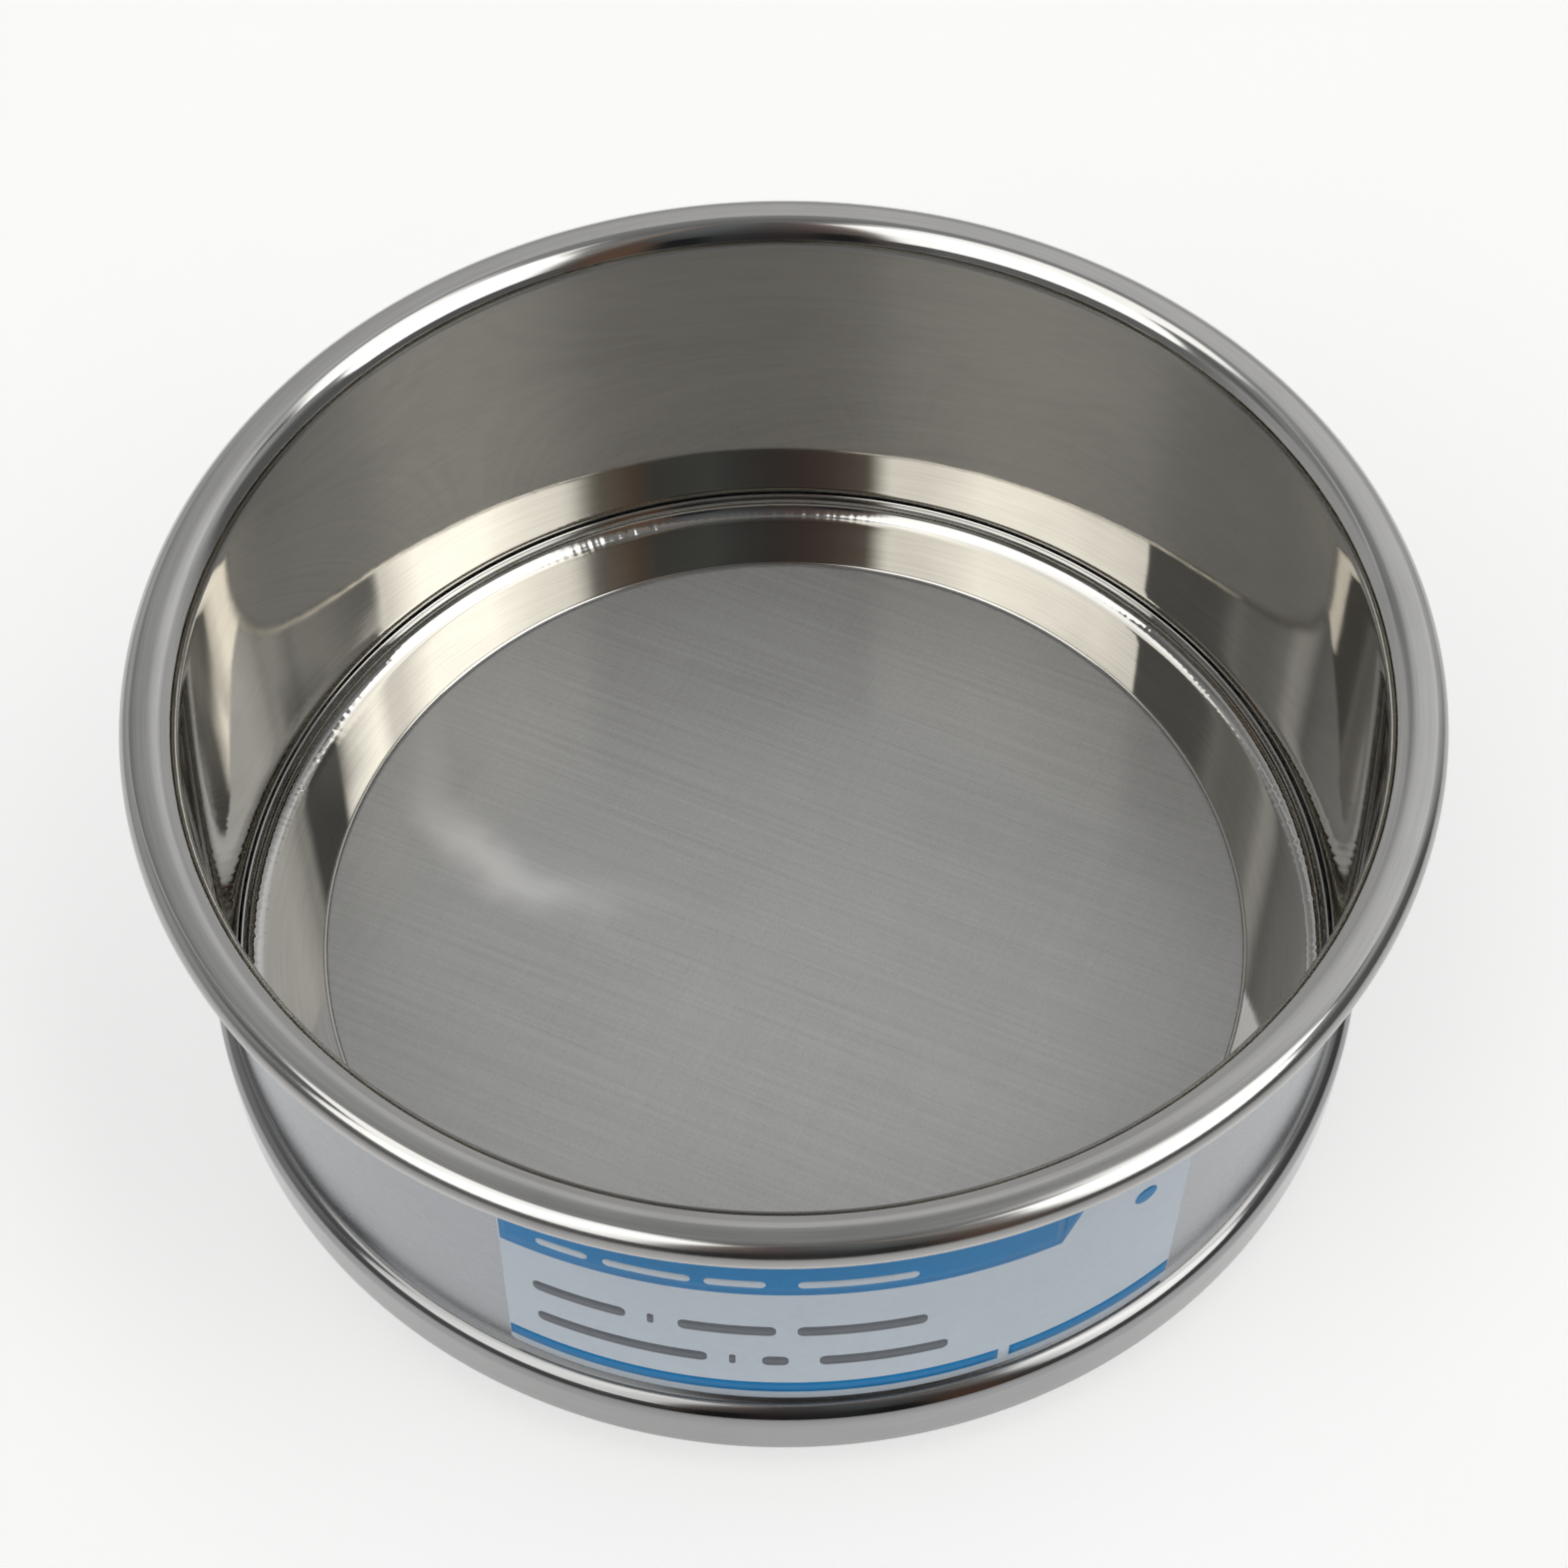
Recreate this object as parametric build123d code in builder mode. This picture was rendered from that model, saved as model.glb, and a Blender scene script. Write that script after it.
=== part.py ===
from build123d import *
import math
import os

# Stainless test sieve with a nesting skirt.
# Millimetres, +Z up, origin on the sieve's axis at the bottom edge of the skirt.

# ---- driving dimensions -------------------------------------------------
wall_inner_r = 50.8        # 4 in inside diameter
sheet = 0.6                # frame sheet thickness
skirt_depth = 5.0          # skirt below the locating bead
frame_height = 40.7        # underside of the locating bead to the top of the rim

rim_outer_r = 55.6         # outermost point of the rolled rim
rim_mouth_r = 2.3          # rounding from the wall into the rim
rim_curl_r = 1.4           # outer rounding of the rolled rim
rim_curl_gap = 0.2         # gap between the curl's end and the wall

bead_outer_r = 53.0        # upright face of the locating bead
bead_round_r = 1.6         # rounding at its top, out from the wall
bead_foot_r = 0.9          # rounding at its lower edge
bead_round_z = 4.8         # height of the top rounding's centre over the underside
wall_foot_z = 8.5          # lower end of the wall, lapped inside the bead

skirt_outer_r = 50.3       # enters the rim of a sieve below
skirt_corner_r = 0.2       # hollow between locating bead and skirt

backing_outer_r = 50.7
backing_inner_r = 43.6
backing_sheet = 0.4
backing_lip = 1.4          # depth of the turned-down inner lip
backing_bend_r = 0.7

cloth_r = 50.0
cloth_thickness = 0.12

ring_sheet = 0.35
ring_inner_r = 42.9        # clear radius of the mesh
ring_nose_r = 0.22         # turned inner edge
ring_outer_r = 50.78
ring_corner_r = 1.8        # visible corner between ledge and lip, up to the lip's rounded top

label_thickness = 0.12
label_low = 7.4            # above the bead's underside
label_high = 34.9
label_from = -26.4         # degrees about the axis from the front (-Y)
label_to = 38.8
label_tilt = 1.0           # the label is stuck on a little askew, degrees

# ---- derived levels -----------------------------------------------------
zb = skirt_depth                       # underside of the locating bead
zt = skirt_depth + frame_height        # top of the rim
wall_outer_r = wall_inner_r + sheet
bead_cz = zb + bead_round_z            # the top rounding ends square on the wall
foot_c = bead_outer_r - bead_foot_r
foot_cz = zb + bead_foot_r
wall_foot_cz = wall_foot_z + sheet / 2

mouth_c = wall_inner_r + rim_mouth_r
mouth_cz = zt - rim_mouth_r
curl_c = rim_outer_r - rim_curl_r
curl_cz = zt - rim_curl_r
corner_c = skirt_outer_r + skirt_corner_r
corner_cz = zb - skirt_corner_r
skirt_inner_r = skirt_outer_r - sheet

seat_z = zb + sheet                    # shoulder that the backing ring sits on
cloth_z = seat_z + backing_sheet
ring_z = cloth_z + cloth_thickness     # underside of the retaining ring's ledge
ledge_z = ring_z + ring_sheet          # top of the ledge

os.makedirs("parts", exist_ok=True)

# ---- frame: skirt, locating bead, wall and rolled rim, joined in one ----
with BuildPart() as frame_shell:
    with BuildSketch(Plane.XZ) as shell_section:
        with BuildLine() as shell_line:
            # outside, from the skirt's edge up to the rim
            Line((skirt_outer_r, 0), (skirt_outer_r, corner_cz))
            CenterArc((corner_c, corner_cz), skirt_corner_r, 180, -90)
            Line((corner_c, zb), (foot_c, zb))
            CenterArc((foot_c, foot_cz), bead_foot_r, -90, 90)
            Line((bead_outer_r, foot_cz), (bead_outer_r, bead_cz))
            CenterArc((wall_outer_r, bead_cz), bead_round_r, 0, 90)
            Line((wall_outer_r, bead_cz + bead_round_r), (wall_outer_r, mouth_cz))
            # inside of the rolled rim
            CenterArc((mouth_c, mouth_cz), rim_mouth_r - sheet, 180, -90)
            Line((mouth_c, zt - sheet), (curl_c, zt - sheet))
            CenterArc((curl_c, curl_cz), rim_curl_r - sheet, 90, -180)
            curl_z = curl_cz - rim_curl_r
            Line((curl_c, curl_z + sheet), (wall_outer_r + rim_curl_gap, curl_z + sheet))
            Line((wall_outer_r + rim_curl_gap, curl_z + sheet), (wall_outer_r + rim_curl_gap, curl_z))
            # outside of the rolled rim
            Line((wall_outer_r + rim_curl_gap, curl_z), (curl_c, curl_z))
            CenterArc((curl_c, curl_cz), rim_curl_r, -90, 180)
            Line((curl_c, zt), (mouth_c, zt))
            CenterArc((mouth_c, mouth_cz), rim_mouth_r, 90, 90)
            # inside, down the wall to its foot, round the bead's groove and down the skirt
            Line((wall_inner_r, mouth_cz), (wall_inner_r, wall_foot_cz))
            CenterArc((wall_inner_r + sheet / 2, wall_foot_cz), sheet / 2, 180, 180)
            Line((wall_outer_r, wall_foot_cz), (wall_outer_r, bead_cz + bead_round_r - sheet))
            CenterArc((wall_outer_r, bead_cz), bead_round_r - sheet, 90, -90)
            Line((bead_outer_r - sheet, bead_cz), (bead_outer_r - sheet, foot_cz))
            CenterArc((foot_c, foot_cz), bead_foot_r - sheet, 0, -90)
            Line((foot_c, seat_z), (corner_c, seat_z))
            CenterArc((corner_c, corner_cz), skirt_corner_r + sheet, 90, 90)
            Line((skirt_inner_r, corner_cz), (skirt_inner_r, 0))
            Line((skirt_inner_r, 0), (skirt_outer_r, 0))
        make_face()
    revolve(axis=Axis.Z)
frame_shell.part.label = "frame_shell"
export_step(frame_shell.part, "parts/frame_shell.step")

# ---- backing ring: flat under the cloth, inner edge turned down ---------
with BuildPart() as backing_ring:
    with BuildSketch(Plane.XZ) as backing_section:
        with BuildLine() as backing_line:
            bend_c = backing_inner_r + backing_bend_r
            bend_cz = cloth_z - backing_bend_r
            lip_z = cloth_z - backing_lip
            edge_r = backing_sheet / 2
            CenterArc((backing_outer_r - edge_r, seat_z + edge_r), edge_r, -90, 180)
            Line((backing_outer_r - edge_r, cloth_z), (bend_c, cloth_z))
            CenterArc((bend_c, bend_cz), backing_bend_r, 90, 90)
            Line((backing_inner_r, bend_cz), (backing_inner_r, lip_z))
            Line((backing_inner_r, lip_z), (backing_inner_r + backing_sheet, lip_z))
            Line((backing_inner_r + backing_sheet, lip_z), (backing_inner_r + backing_sheet, bend_cz))
            CenterArc((bend_c, bend_cz), backing_bend_r - backing_sheet, 180, -90)
            Line((bend_c, seat_z), (backing_outer_r - edge_r, seat_z))
        make_face()
    revolve(axis=Axis.Z)
backing_ring.part.label = "backing_ring"
export_step(backing_ring.part, "parts/backing_ring.step")

# ---- woven wire cloth: a flat disc, clamped round its edge --------------
with BuildPart() as sieve_cloth:
    with BuildSketch(Plane.XY.offset(cloth_z)):
        Circle(cloth_r)
    extrude(amount=cloth_thickness)
sieve_cloth.part.label = "sieve_cloth"
export_step(sieve_cloth.part, "parts/sieve_cloth.step")

# ---- retaining ring: ledge, turned inner edge and upturned lip ----------
with BuildPart() as retaining_ring:
    with BuildSketch(Plane.XZ) as ring_section:
        with BuildLine() as ring_line:
            nose_c = ring_inner_r + ring_nose_r
            nose_cz = ring_z + ring_nose_r
            turn_c = ring_outer_r - ring_sheet - ring_corner_r
            turn_cz = ledge_z + ring_corner_r
            lip_c = ring_outer_r - ring_sheet / 2
            # angle at which the nose runs into the ledge
            run = math.degrees(math.asin((ledge_z - nose_cz) / ring_nose_r))
            CenterArc((nose_c, nose_cz), ring_nose_r, 270, -(270 - run))
            Line(
                (nose_c + ring_nose_r * math.cos(math.radians(run)), ledge_z),
                (turn_c, ledge_z),
            )
            CenterArc((turn_c, turn_cz), ring_corner_r, -90, 90)
            CenterArc((lip_c, turn_cz), ring_sheet / 2, 180, -180)
            CenterArc((turn_c, turn_cz), ring_corner_r + ring_sheet, 0, -90)
            Line((turn_c, ring_z), (nose_c, ring_z))
        make_face()
    revolve(axis=Axis.Z)
retaining_ring.part.label = "retaining_ring"
export_step(retaining_ring.part, "parts/retaining_ring.step")

# ---- label: a thin film wrapped on the front of the wall ----------------
with BuildPart() as label:
    mid = (label_from + label_to) / 2
    # plane that faces out of the wall at the label's middle
    facing = math.radians(mid)
    label_plane = Plane(
        origin=(0, 0, zb + (label_low + label_high) / 2),
        x_dir=(math.cos(facing), math.sin(facing), 0),
        z_dir=(math.sin(facing), -math.cos(facing), 0),
    )
    half = (label_to - label_from) / 2
    with BuildSketch(Plane.XY.offset(zb + label_low - 2)):
        Circle(wall_outer_r + label_thickness)
        Circle(wall_outer_r, mode=Mode.SUBTRACT)
    extrude(amount=label_high - label_low + 4)
    with BuildSketch(label_plane) as label_outline:
        RectangleRounded(
            2 * wall_outer_r * math.sin(math.radians(half)),
            label_high - label_low,
            0.6,
            rotation=-label_tilt,
        )
    extrude(amount=wall_outer_r + 5, mode=Mode.INTERSECT)
label.part.label = "label"
export_step(label.part, "parts/label.step")
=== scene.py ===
import math

import bpy
import numpy as np
from mathutils import Matrix


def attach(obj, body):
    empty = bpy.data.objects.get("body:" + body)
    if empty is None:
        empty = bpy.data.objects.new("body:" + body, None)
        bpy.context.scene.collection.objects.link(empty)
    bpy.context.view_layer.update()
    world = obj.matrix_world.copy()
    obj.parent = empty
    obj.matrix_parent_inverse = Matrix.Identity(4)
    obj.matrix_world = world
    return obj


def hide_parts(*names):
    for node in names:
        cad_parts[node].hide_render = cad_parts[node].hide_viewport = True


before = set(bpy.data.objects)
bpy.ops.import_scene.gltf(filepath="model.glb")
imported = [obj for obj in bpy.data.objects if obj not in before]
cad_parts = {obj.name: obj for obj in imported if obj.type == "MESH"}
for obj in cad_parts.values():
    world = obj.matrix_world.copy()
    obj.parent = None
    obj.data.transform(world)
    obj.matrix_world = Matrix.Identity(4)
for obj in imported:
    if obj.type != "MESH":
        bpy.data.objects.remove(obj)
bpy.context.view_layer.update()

MM = 0.001
rng = np.random.default_rng(7)

# ---------------------------------------------------------------- section
# The section of the sieve in millimetres, as (radius, height) points, the
# same dimensions as the CAD part.
WALL_IN, SHEET = 50.8, 0.6
WALL_OUT = WALL_IN + SHEET
ZB, ZT = 5.0, 45.7                       # locating bead's underside, rim's top
MOUTH_R, MOUTH_C = 2.3, 53.1
CURL_R, CURL_C = 1.4, 54.2
BEAD_OUT, BEAD_R, BEAD_Z = 53.0, 1.6, 9.8      # locating bead: face, rounding at its top
FOOT_R, FOOT_C, FOOT_Z = 0.9, 52.1, 5.9        # rounding at its lower edge
TOE_Z = 8.8                                    # lower end of the wall, inside the bead


def line(a, b, n):
    t = np.linspace(0, 1, n + 1)[:, None]
    return np.array(a, float) * (1 - t) + np.array(b, float) * t


def arc(c, r, a0, a1, n):
    t = np.radians(np.linspace(a0, a1, n + 1))
    return np.stack([c[0] + r * np.cos(t), c[1] + r * np.sin(t)], 1)


def section(parts, closed=True):
    """parts: (points, material index, sharp at its start). Gives points, the material of each span and which points are sharp."""
    pts, mats, sharp = [], [], []
    for p, m, s in parts:
        p = [np.asarray(q, float) for q in p]
        if pts and np.allclose(pts[-1], p[0], atol=1e-6):
            sharp[-1] = sharp[-1] or s
        else:
            if pts:
                mats.append(m)
            pts.append(p[0])
            sharp.append(s)
        for q in p[1:]:
            pts.append(q)
            sharp.append(False)
            mats.append(m)
    if closed:
        if np.allclose(pts[0], pts[-1], atol=1e-6):
            pts.pop()
            sharp[0] = sharp.pop() or sharp[0]
        else:
            mats.append(mats[-1])
    return np.array(pts), mats, sharp


def lathe(name, parts, n, materials, warp=None, closed=True):
    """Turns the section about Z. Azimuth 0 is the front, -Y, and grows towards +X."""
    pts, mats, sharp = section(parts, closed)
    m = len(pts)
    phi = np.linspace(0, 2 * math.pi, n, endpoint=False)
    R = np.repeat(pts[:, :1], n, 1)
    Z = np.repeat(pts[:, 1:], n, 1)
    P = np.repeat(phi[None], m, 0)
    if warp is not None:
        dR, dZ = warp(R, Z, P)
        R, Z = R + dR, Z + dZ
    co = np.stack([R * np.sin(P), -R * np.cos(P), Z], -1).reshape(-1, 3) * MM
    spans = m if closed else m - 1
    i = np.arange(spans)[:, None]
    j = np.arange(n)[None]
    i2, j2 = (i + 1) % m, (j + 1) % n
    faces = np.stack([i * n + j, i * n + j2, i2 * n + j2, i2 * n + j], -1).reshape(-1, 4)
    nxt = np.roll(pts, -1, 0)
    inward = float((pts[:, 0] * nxt[:, 1] - nxt[:, 0] * pts[:, 1]).sum()) < 0
    if inward:
        faces = faces[:, ::-1]
    me = bpy.data.meshes.new(name)
    me.vertices.add(len(co))
    me.vertices.foreach_set("co", co.ravel())
    me.loops.add(faces.size)
    me.loops.foreach_set("vertex_index", faces.ravel())
    me.polygons.add(len(faces))
    me.polygons.foreach_set("loop_start", np.arange(len(faces)) * 4)
    me.polygons.foreach_set("material_index", np.repeat(np.array(mats[:spans]), n))
    me.update(calc_edges=True)
    me.polygons.foreach_set("use_smooth", np.ones(len(faces), bool))
    hard = set(k for k in range(m) if sharp[k])
    if hard:
        ev = np.zeros(len(me.edges) * 2, int)
        me.edges.foreach_get("vertices", ev)
        ev = ev.reshape(-1, 2)
        ring = ev // n
        flag = (ring[:, 0] == ring[:, 1]) & np.isin(ring[:, 0], list(hard))
        me.edges.foreach_set("use_edge_sharp", flag)
    # arc length along the section and angle, as a map
    step = np.linalg.norm(np.roll(pts, -1, 0) - pts, axis=1)
    s = np.concatenate([[0], np.cumsum(step)])
    total = s[-1] if closed else s[-2]
    uv = me.uv_layers.new(name="OFBake")
    u0 = np.broadcast_to(j / n, (spans, n))
    u1 = np.broadcast_to((j + 1) / n, (spans, n))
    v0 = np.broadcast_to(s[:spans, None] / total, (spans, n))
    v1 = np.broadcast_to(s[1 : spans + 1, None] / total, (spans, n))
    st = np.stack([u0, v0, u1, v0, u1, v1, u0, v1], -1).reshape(-1, 4, 2)
    if inward:
        st = st[:, ::-1]
    st = st.reshape(-1)
    uv.data.foreach_set("uv", st.astype(np.float32))
    me.validate()
    o = bpy.data.objects.new(name, me)
    bpy.context.scene.collection.objects.link(o)
    for mt in materials:
        me.materials.append(mt)
    return o


# -------------------------------------------------------------- materials
class Tree:
    """Short forms for building a material's nodes."""

    def __init__(self, name):
        self.m = bpy.data.materials.new(name)
        self.m.use_nodes = True
        self.t = self.m.node_tree
        self.t.nodes.clear()
        self.out = self.t.nodes.new("ShaderNodeOutputMaterial")
        self.b = self.t.nodes.new("ShaderNodeBsdfPrincipled")
        self.t.links.new(self.b.outputs[0], self.out.inputs[0])
        tc = self.t.nodes.new("ShaderNodeTexCoord")
        self.obj = tc.outputs["Object"]

    def put(self, sock, v):
        if hasattr(v, "is_output"):
            self.t.links.new(v, sock)
        elif v is not None:
            sock.default_value = v

    def math(self, op, a, b=None, c=None, clamp=False):
        n = self.t.nodes.new("ShaderNodeMath")
        n.operation = op
        n.use_clamp = clamp
        for k, v in enumerate((a, b, c)):
            self.put(n.inputs[k], v)
        return n.outputs[0]

    def xyz(self, v):
        n = self.t.nodes.new("ShaderNodeSeparateXYZ")
        self.put(n.inputs[0], v)
        return n.outputs

    def combine(self, x, y, z):
        n = self.t.nodes.new("ShaderNodeCombineXYZ")
        for k, v in enumerate((x, y, z)):
            self.put(n.inputs[k], v)
        return n.outputs[0]

    def scaled(self, v, s):
        n = self.t.nodes.new("ShaderNodeVectorMath")
        n.operation = "MULTIPLY"
        self.put(n.inputs[0], v)
        n.inputs[1].default_value = s
        return n.outputs[0]

    def noise(self, v, scale=1.0, detail=3.0, rough=0.5, distort=0.0):
        n = self.t.nodes.new("ShaderNodeTexNoise")
        self.put(n.inputs["Vector"], v)
        n.inputs["Scale"].default_value = scale
        n.inputs["Detail"].default_value = detail
        n.inputs["Roughness"].default_value = rough
        n.inputs["Distortion"].default_value = distort
        return n.outputs["Fac"]

    def ramp(self, f, stops, mode="LINEAR"):
        n = self.t.nodes.new("ShaderNodeValToRGB")
        n.color_ramp.interpolation = mode
        e = n.color_ramp.elements
        while len(e) > 1:
            e.remove(e[-1])
        for k, (p, c) in enumerate(stops):
            x = e[0] if k == 0 else e.new(p)
            x.position = p
            x.color = c if len(c) == 4 else (*c, 1)
        self.put(n.inputs[0], f)
        return n.outputs[0]

    def span(self, f, a, b, lo, hi, smooth=False):
        n = self.t.nodes.new("ShaderNodeMapRange")
        n.interpolation_type = "SMOOTHSTEP" if smooth else "LINEAR"
        self.put(n.inputs[0], f)
        for k, v in enumerate((a, b, lo, hi)):
            n.inputs[k + 1].default_value = v
        return n.outputs[0]

    def mix(self, f, a, b):
        n = self.t.nodes.new("ShaderNodeMix")
        n.data_type = "RGBA"
        self.put(n.inputs[0], f)
        self.put(n.inputs[6], a)
        self.put(n.inputs[7], b)
        return n.outputs[2]

    def bump(self, h, strength, dist, under=None):
        n = self.t.nodes.new("ShaderNodeBump")
        n.inputs["Strength"].default_value = strength
        n.inputs["Distance"].default_value = dist
        self.put(n.inputs["Height"], h)
        if under is not None:
            self.put(n.inputs["Normal"], under)
        return n.outputs[0]


def steel(name, tint, rough, brush=0.25, streak_bump=0.25, aniso=0.0, wobble=0.0, dirt=0.12, outer_shade_and_dull=None):
    """Stainless sheet. Fine lines run round the sieve, as it was spun and polished, over slow changes of tone."""
    k = Tree(name)
    x, y, z = k.xyz(k.obj)
    r = k.math("SQRT", k.math("ADD", k.math("MULTIPLY", x, x), k.math("MULTIPLY", y, y)))
    prof = k.math("ADD", k.math("MULTIPLY", r, 0.83), z)      # changes along the section everywhere
    lines = k.noise(k.combine(k.math("MULTIPLY", x, 45), k.math("MULTIPLY", y, 45), k.math("MULTIPLY", prof, 5200)), 1, 3, 0.65)
    fine = k.noise(k.combine(k.math("MULTIPLY", x, 160), k.math("MULTIPLY", y, 160), k.math("MULTIPLY", prof, 16000)), 1, 1, 0.6)
    cloud = k.noise(k.scaled(k.obj, (70, 70, 95)), 1, 2, 0.6, 0.6)
    both = k.math("ADD", k.math("MULTIPLY", lines, 0.6), k.math("MULTIPLY", fine, 0.4))
    tone = k.math("ADD", k.math("MULTIPLY", both, 0.7), k.math("MULTIPLY", cloud, 0.3))
    lo = tuple(c * (1 - dirt) for c in tint)
    hi = tuple(min(1, c * (1 + dirt * 0.7)) for c in tint)
    base = k.ramp(tone, [(0.32, lo), (0.5, tint), (0.68, hi)])
    fine_rough = k.span(tone, 0.3, 0.7, rough * (1 - brush), rough * (1 + brush))
    if outer_shade_and_dull:
        # the curl's outer side is made rougher, and its colour is painted darker there: painted shade for the dimmer
        # floor it reflects
        shade_keep, dull = outer_shade_and_dull
        f = k.span(r, 0.0546, 0.0555, 0, 1, True)
        base = k.mix(f, base, k.ramp(tone, [(0.32, tuple(c * shade_keep for c in lo)), (0.5, tuple(c * shade_keep for c in tint)), (0.68, tuple(c * shade_keep for c in hi))]))
        fine_rough = k.math("ADD", fine_rough, k.math("MULTIPLY", f, dull))
    k.put(k.b.inputs["Base Color"], base)
    k.b.inputs["Metallic"].default_value = 1.0
    k.put(k.b.inputs["Roughness"], fine_rough)
    nrm = None
    if wobble:
        slow = k.noise(k.scaled(k.obj, (55, 55, 40)), 1, 2, 0.4)
        nrm = k.bump(slow, wobble, 0.0006)
    if streak_bump:
        nrm = k.bump(both, streak_bump, 0.00002, nrm)
    k.put(k.b.inputs["Normal"], nrm)
    if aniso:
        tn = k.t.nodes.new("ShaderNodeTangent")
        tn.direction_type = "RADIAL"
        tn.axis = "Z"
        k.put(k.b.inputs["Tangent"], tn.outputs[0])
        k.b.inputs["Anisotropic"].default_value = aniso
    return k.m


steel_in = steel("steel_inside_wall", (0.61, 0.583, 0.528), 0.035, wobble=0.06, streak_bump=0.05)
steel_rim = steel("steel_rolled_rim", (0.62, 0.615, 0.60), 0.085, streak_bump=0.10, outer_shade_and_dull=(0.74, 0.13))
# outer wall and bead: a darker steel colour than the inside wall's, painted shade for the dimmer floor they reflect
steel_out = steel("steel_outside_wall", (0.335, 0.35, 0.37), 0.26, streak_bump=0.30, wobble=0.05)
steel_bead = steel("steel_bead", (0.33, 0.33, 0.33), 0.11, streak_bump=0.10)
steel_skirt = steel("steel_skirt", (0.50, 0.50, 0.50), 0.32, streak_bump=0.3)
steel_cut = steel("steel_cut_edge", (0.42, 0.42, 0.42), 0.42, streak_bump=0.5)
steel_ring = steel("steel_retaining_ring", (0.62, 0.613, 0.59), 0.03, wobble=0.05, streak_bump=0.05)
steel_back = steel("steel_backing_ring", (0.50, 0.50, 0.49), 0.24, streak_bump=0.3)

# ------------------------------------------------------------------ frame
NF = 384


def undulate(P, Z, seed, amp, ks, zscale):
    """Slow waves in a sheet, smooth round the sieve and down it."""
    g = np.random.default_rng(seed)
    out = np.zeros_like(P)
    for k in ks:
        a, b, c = g.normal(), g.uniform(0, 2 * math.pi), g.uniform(-1, 1)
        out += a / math.sqrt(len(ks)) * np.cos(k * P + b + c * Z / zscale * 2 * math.pi)
    return amp * out


def shell_warp(R, Z, P):
    near_wall = np.clip((Z - 12) / 5, 0, 1) * np.clip((43 - Z) / 6, 0, 1)
    d = undulate(P, Z, 11, 0.010, range(5, 19, 2), 30.0) * near_wall
    d = d + undulate(P, Z, 12, 0.05, (2, 3, 4), 120.0)
    return d, np.zeros_like(d)


shell_parts = [
    (line((50.3, 0.12), (50.3, 4.8), 8), 4, False),
    (arc((50.5, 4.8), 0.2, 180, 90, 5), 4, False),
    (line((50.5, 5.0), (FOOT_C, 5.0), 3), 3, False),
    (arc((FOOT_C, FOOT_Z), FOOT_R, -90, 0, 12), 3, False),
    (line((BEAD_OUT, FOOT_Z), (BEAD_OUT, BEAD_Z), 6), 3, False),
    (arc((WALL_OUT, BEAD_Z), BEAD_R, 0, 90, 20), 3, False),
    (line((WALL_OUT, BEAD_Z + BEAD_R), (WALL_OUT, 43.4), 22), 2, True),
    (arc((MOUTH_C, 43.4), MOUTH_R - SHEET, 180, 90, 6), 5, False),
    (line((MOUTH_C, ZT - SHEET), (CURL_C, ZT - SHEET), 1), 5, False),
    (arc((CURL_C, 44.3), CURL_R - SHEET, 90, -90, 8), 5, False),
    (line((CURL_C, 43.5), (51.6, 43.5), 3), 5, False),
    (line((51.6, 43.5), (51.6, 43.02), 2), 5, True),
    (arc((51.72, 43.02), 0.12, 180, 270, 3), 1, False),
    (line((51.72, 42.9), (CURL_C, 42.9), 4), 1, False),
    (arc((CURL_C, 44.3), CURL_R, -90, 90, 26), 1, False),
    (line((CURL_C, ZT), (MOUTH_C, ZT), 3), 1, False),
    (arc((MOUTH_C, 43.4), MOUTH_R, 90, 180, 16), 1, False),
    (line((WALL_IN, 43.4), (WALL_IN, TOE_Z), 30), 0, False),
    (arc((WALL_IN + SHEET / 2, TOE_Z), SHEET / 2, 180, 360, 8), 5, False),
    (line((WALL_OUT, TOE_Z), (WALL_OUT, BEAD_Z + BEAD_R - SHEET), 3), 5, False),
    (arc((WALL_OUT, BEAD_Z), BEAD_R - SHEET, 90, 0, 8), 5, True),
    (line((BEAD_OUT - SHEET, BEAD_Z), (BEAD_OUT - SHEET, FOOT_Z), 4), 5, False),
    (arc((FOOT_C, FOOT_Z), FOOT_R - SHEET, 0, -90, 4), 5, False),
    (line((FOOT_C, 5.6), (50.5, 5.6), 3), 5, False),
    (arc((50.5, 4.8), 0.8, 90, 180, 8), 4, False),
    (line((49.7, 4.8), (49.7, 0.12), 8), 4, False),
    (arc((49.82, 0.12), 0.12, 180, 270, 3), 5, False),
    (line((49.82, 0.0), (50.18, 0.0), 2), 5, False),
    (arc((50.18, 0.12), 0.12, 270, 360, 3), 5, False),
]
shell = lathe("frame_turned_shell", shell_parts, NF, [steel_in, steel_rim, steel_out, steel_bead, steel_skirt, steel_cut], shell_warp)
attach(shell, "root")
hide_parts("frame_shell")

# --------------------------------------------------------- retaining ring
NR = 1440
CLOTH_Z = 6.0
LEDGE_Z = 6.47
NOSE_C, NOSE_R, NOSE_Z = 43.12, 0.22, 6.34
TURN_C, TURN_R = 48.63, 1.8
TURN_Z = LEDGE_Z + TURN_R
RUN = math.degrees(math.asin((LEDGE_Z - NOSE_Z) / NOSE_R))


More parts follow.
